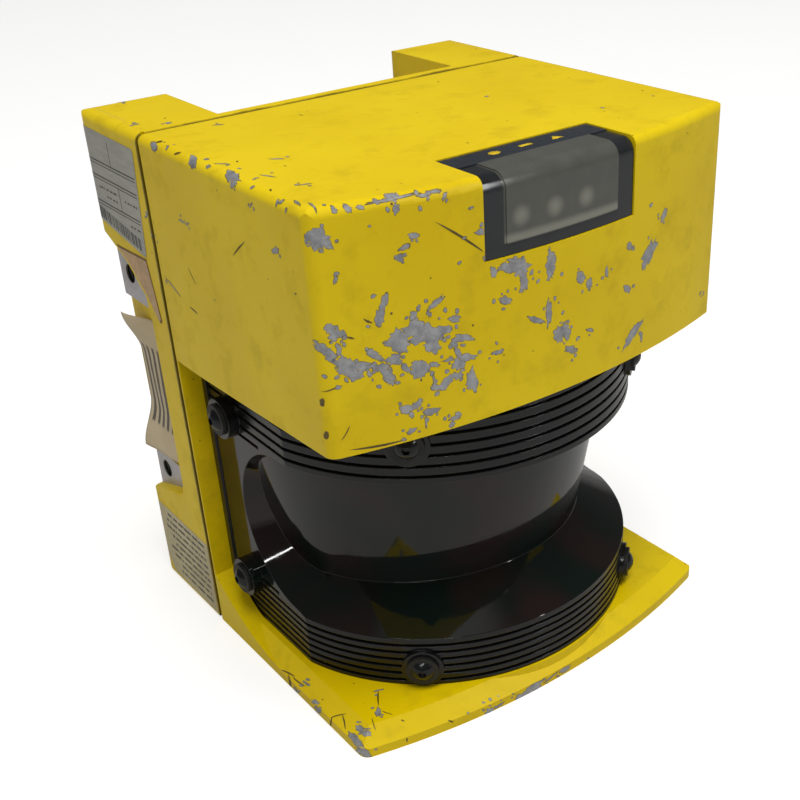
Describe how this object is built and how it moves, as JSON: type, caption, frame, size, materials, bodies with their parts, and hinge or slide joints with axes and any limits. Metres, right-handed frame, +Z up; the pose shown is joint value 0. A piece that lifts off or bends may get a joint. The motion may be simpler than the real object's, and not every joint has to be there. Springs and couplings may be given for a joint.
{
  "type": "safety laser scanner",
  "caption": "Safety laser scanner with two die-cast housings, a waisted smoke optics cover with ribbed bands, and a mirror unit that spins inside it.",
  "frame": {"origin": "on the floor, under the middle of the whole scanner", "axes": "+X across to the right seen from the front, -Y is the front, +Z up"},
  "size_m": [0.155, 0.156, 0.185],
  "materials": {
    "yellow_paint": "semi-gloss",
    "black_rubber": "matte",
    "zinc_steel": "satin",
    "insert_steel": "satin",
    "smoke_cover": "gloss",
    "black_oxide_steel": "satin",
    "display_strip_film": "gloss",
    "display_plastic": "gloss",
    "circuit_board": "semi-gloss",
    "led_plastic": "gloss",
    "cast_aluminium": "matte",
    "black_plastic": "matte",
    "winding_core": "matte",
    "mirror_glass": "mirror",
    "encoder_metal": "satin",
    "lens_glass": "gloss",
    "laser_brass": "satin",
    "connector_metal": "satin"
  },
  "bodies": {
    "scanner": {"rear_housing": "yellow_paint", "front_housing": "yellow_paint", "housing_seal": "black_rubber", "housing_screws": "zinc_steel", "thread_inserts": "insert_steel", "insert_caps": "zinc_steel", "optics_cover": "smoke_cover", "cover_seal_lower": "black_rubber", "cover_seal_upper": "black_rubber", "cover_screws": "black_oxide_steel", "cover_washers": "black_rubber", "display_strip": "display_strip_film", "display_lens": "display_plastic", "display_board": "circuit_board", "status_leds": "led_plastic", "scanner_frame": "cast_aluminium", "frame_screws": "zinc_steel", "motor_housing": "black_plastic", "motor_bearings": "insert_steel", "encoder_sensor": "black_plastic", "lens_holder": "black_plastic", "receiver_lens": "lens_glass", "laser_module": "laser_brass", "receiver_board": "circuit_board", "lower_sensor_board": "circuit_board", "upper_sensor_board": "circuit_board", "sensor_emitters": "led_plastic", "sensor_receivers": "led_plastic", "main_board": "circuit_board", "board_spacers": "zinc_steel", "board_screws": "zinc_steel", "power_board": "circuit_board", "power_spacers": "zinc_steel", "power_connector": "connector_metal", "data_connector": "connector_metal", "connector_posts": "zinc_steel"},
    "rotor": {"motor_shaft": "insert_steel", "motor_rotor": "winding_core", "mirror_hub": "black_plastic", "scan_mirror": "mirror_glass", "encoder_disc": "encoder_metal"}
  },
  "joints": [
    {"name": "mirror_spin", "type": "hinge", "parent": "scanner", "child": "rotor", "pos_m": [0, -0.0029, 0.063], "axis": [0, 0, 1], "continuous": true}
  ]
}
